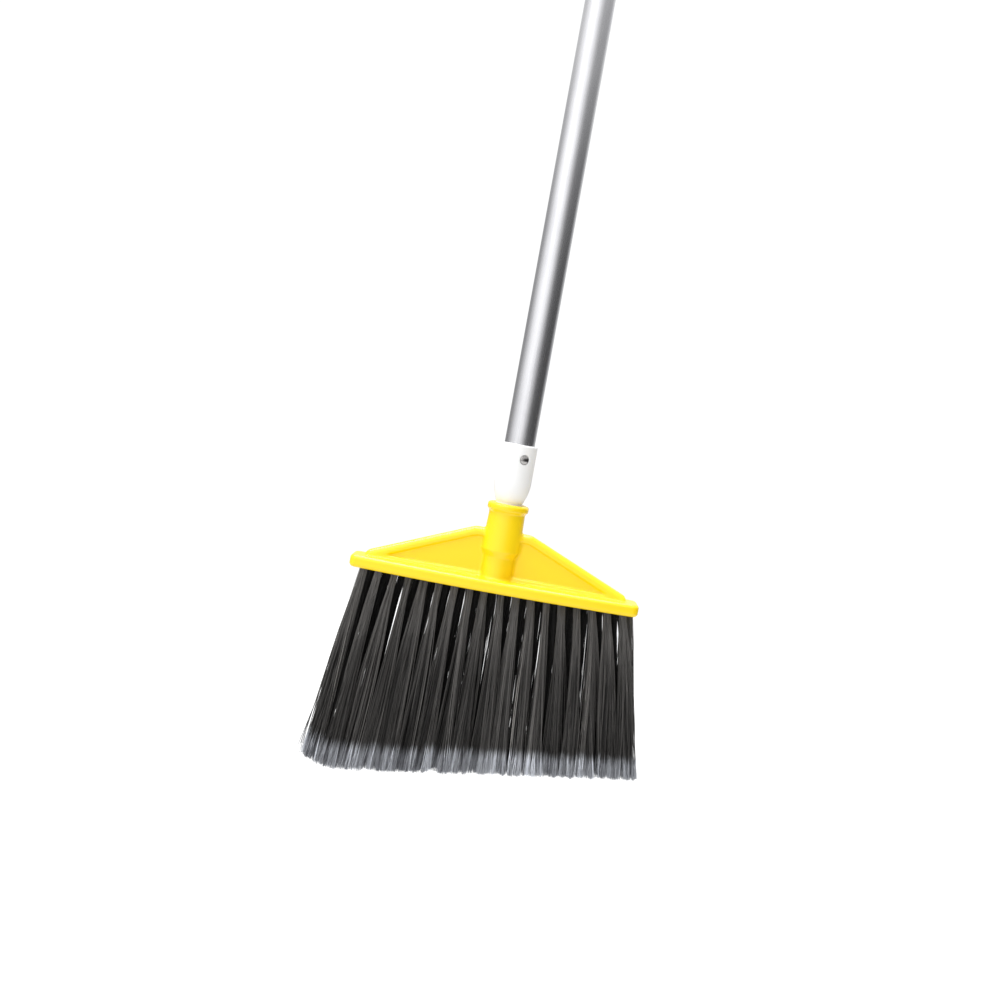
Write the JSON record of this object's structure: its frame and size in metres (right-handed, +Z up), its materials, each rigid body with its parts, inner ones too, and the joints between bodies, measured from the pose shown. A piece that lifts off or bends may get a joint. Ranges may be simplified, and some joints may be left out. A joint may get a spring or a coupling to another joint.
{
  "type": "angle broom",
  "caption": "Angled sweeping broom: moulded block with a round socket, flagged bristles cut at a slant, and a long screw-in tube handle with a swivelling hanging eye.",
  "frame": {"origin": "middle of the hanging eye at the top of the handle", "axes": "+Z up along the handle, +X along the block towards the short end of the bristles, -Y is the front that faces the sweeper"},
  "size_m": [0.2994, 0.048, 1.4608],
  "materials": {
    "yellow_plastic": "gloss",
    "white_plastic": "satin",
    "grey_plastic": "satin",
    "tube_aluminium": "satin",
    "rivet_steel": "polished",
    "bristle_fibre": "matte"
  },
  "bodies": {
    "hanger": {"swivel_hanger": "grey_plastic"},
    "handle": {"handle_tube": "tube_aluminium", "threaded_tip": "white_plastic", "ferrule_rivet": "rivet_steel", "tube_end_plug": "grey_plastic"},
    "head": {"broom_block": "yellow_plastic"},
    "front_row": {"front_tuft_01": "bristle_fibre", "front_tuft_02": "bristle_fibre", "front_tuft_03": "bristle_fibre", "front_tuft_04": "bristle_fibre", "front_tuft_05": "bristle_fibre", "front_tuft_06": "bristle_fibre", "front_tuft_07": "bristle_fibre", "front_tuft_08": "bristle_fibre", "front_tuft_09": "bristle_fibre", "front_tuft_10": "bristle_fibre", "front_tuft_11": "bristle_fibre", "front_tuft_12": "bristle_fibre", "front_tuft_13": "bristle_fibre", "front_tuft_14": "bristle_fibre", "front_tuft_15": "bristle_fibre", "front_tuft_16": "bristle_fibre", "front_tuft_17": "bristle_fibre", "front_tuft_18": "bristle_fibre"},
    "middle_row": {"middle_tuft_01": "bristle_fibre", "middle_tuft_02": "bristle_fibre", "middle_tuft_03": "bristle_fibre", "middle_tuft_04": "bristle_fibre", "middle_tuft_05": "bristle_fibre", "middle_tuft_06": "bristle_fibre", "middle_tuft_07": "bristle_fibre", "middle_tuft_08": "bristle_fibre", "middle_tuft_09": "bristle_fibre", "middle_tuft_10": "bristle_fibre", "middle_tuft_11": "bristle_fibre", "middle_tuft_12": "bristle_fibre", "middle_tuft_13": "bristle_fibre", "middle_tuft_14": "bristle_fibre", "middle_tuft_15": "bristle_fibre", "middle_tuft_16": "bristle_fibre", "middle_tuft_17": "bristle_fibre", "middle_tuft_18": "bristle_fibre"},
    "back_row": {"back_tuft_01": "bristle_fibre", "back_tuft_02": "bristle_fibre", "back_tuft_03": "bristle_fibre", "back_tuft_04": "bristle_fibre", "back_tuft_05": "bristle_fibre", "back_tuft_06": "bristle_fibre", "back_tuft_07": "bristle_fibre", "back_tuft_08": "bristle_fibre", "back_tuft_09": "bristle_fibre", "back_tuft_10": "bristle_fibre", "back_tuft_11": "bristle_fibre", "back_tuft_12": "bristle_fibre", "back_tuft_13": "bristle_fibre", "back_tuft_14": "bristle_fibre", "back_tuft_15": "bristle_fibre", "back_tuft_16": "bristle_fibre", "back_tuft_17": "bristle_fibre", "back_tuft_18": "bristle_fibre"}
  },
  "joints": [
    {"name": "handle_turn", "type": "hinge", "parent": "hanger", "child": "handle", "pos_m": [0, 0, 0], "axis": [0, 0, 1], "range_deg": [0, 1980]},
    {"name": "head_unscrew", "type": "slide", "parent": "hanger", "child": "head", "axis": [0, 0, -1], "range_m": [0, 0.028]},
    {"name": "middle_flex", "type": "hinge", "parent": "head", "child": "middle_row", "pos_m": [0, 0, -1.2664], "axis": [1, 0, 0], "range_deg": [-18, 18], "stiffness_Nm_per_rad": 2},
    {"name": "front_flex", "type": "hinge", "parent": "head", "child": "front_row", "pos_m": [0, -0.0092, -1.2664], "axis": [1, 0, 0], "range_deg": [-18, 18], "stiffness_Nm_per_rad": 2},
    {"name": "back_flex", "type": "hinge", "parent": "head", "child": "back_row", "pos_m": [0, 0.0092, -1.2664], "axis": [1, 0, 0], "range_deg": [-18, 18], "stiffness_Nm_per_rad": 2}
  ],
  "couplings": [
    {"joint": "head_unscrew", "follows": "handle_turn", "m_per_rad": 0.00080851},
    {"joint": "front_flex", "follows": "middle_flex", "ratio": 1},
    {"joint": "back_flex", "follows": "middle_flex", "ratio": 1}
  ]
}
